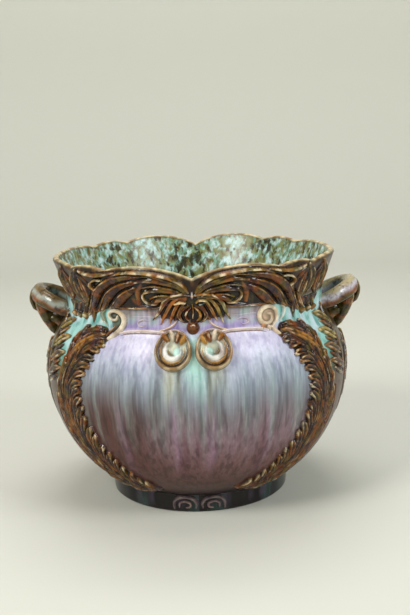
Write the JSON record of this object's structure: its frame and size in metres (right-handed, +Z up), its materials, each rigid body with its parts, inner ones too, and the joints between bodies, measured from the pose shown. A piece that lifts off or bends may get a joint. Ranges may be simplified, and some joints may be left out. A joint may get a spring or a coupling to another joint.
{
  "type": "cachepot",
  "caption": "Round glazed earthenware cachepot with a scalloped flaring rim, ear handles, leaf and scroll relief and a foot ring; holds a flowerpot.",
  "frame": {"origin": "centre of the foot ring's underside, on the surface that the pot stands on", "axes": "+Z up along the pot's axis, +X from the left handle to the right handle, -Y towards the front"},
  "size_m": [0.3042, 0.278, 0.225],
  "materials": {
    "ground_glaze": "glossy running glaze, lavender over grey-green and plum, mottled mint inside",
    "relief_glaze": "glossy treacle-brown glaze that breaks to honey and cream on the raised edges",
    "scroll_glaze": "glossy pale mint glaze with honey-brown edges",
    "foot_glaze": "glossy dark glaze with grey-green and lavender runs"
  },
  "bodies": {
    "root": {"bead_drop_back": "relief_glaze", "bead_drop_front": "relief_glaze", "bowl": "ground_glaze", "collar": "ground_glaze", "collar_drops_back_left": "relief_glaze", "collar_drops_back_right": "relief_glaze", "collar_drops_front_left": "relief_glaze", "collar_drops_front_right": "relief_glaze", "collar_leaf_back_left": "relief_glaze", "collar_leaf_back_right": "relief_glaze", "collar_leaf_front_left": "relief_glaze", "collar_leaf_front_right": "relief_glaze", "foot_ring": "foot_glaze", "foot_scroll_back_left": "foot_glaze", "foot_scroll_back_right": "foot_glaze", "foot_scroll_front_left": "foot_glaze", "foot_scroll_front_right": "foot_glaze", "garland_back_left": "relief_glaze", "garland_back_right": "relief_glaze", "garland_front_left": "relief_glaze", "garland_front_right": "relief_glaze", "handle_leaf_left": "relief_glaze", "handle_leaf_right": "relief_glaze", "handle_loop_left": "relief_glaze", "handle_loop_right": "relief_glaze", "palmette_back": "relief_glaze", "palmette_front": "relief_glaze", "panel_cord_back_left": "scroll_glaze", "panel_cord_back_right": "scroll_glaze", "panel_cord_front_left": "scroll_glaze", "panel_cord_front_right": "scroll_glaze", "petal_inner_back_left": "relief_glaze", "petal_inner_back_right": "relief_glaze", "petal_inner_front_left": "relief_glaze", "petal_inner_front_right": "relief_glaze", "petal_outer_back_left": "relief_glaze", "petal_outer_back_right": "relief_glaze", "petal_outer_front_left": "relief_glaze", "petal_outer_front_right": "relief_glaze", "shoulder_scroll_back_left": "scroll_glaze", "shoulder_scroll_back_right": "scroll_glaze", "shoulder_scroll_front_left": "scroll_glaze", "shoulder_scroll_front_right": "scroll_glaze", "side_leaf_left": "relief_glaze", "side_leaf_right": "relief_glaze", "side_spray_back_left": "relief_glaze", "side_spray_back_right": "relief_glaze", "side_spray_front_left": "relief_glaze", "side_spray_front_right": "relief_glaze", "volute_back_left": "scroll_glaze", "volute_back_right": "scroll_glaze", "volute_front_left": "scroll_glaze", "volute_front_right": "scroll_glaze"}
  },
  "joints": []
}
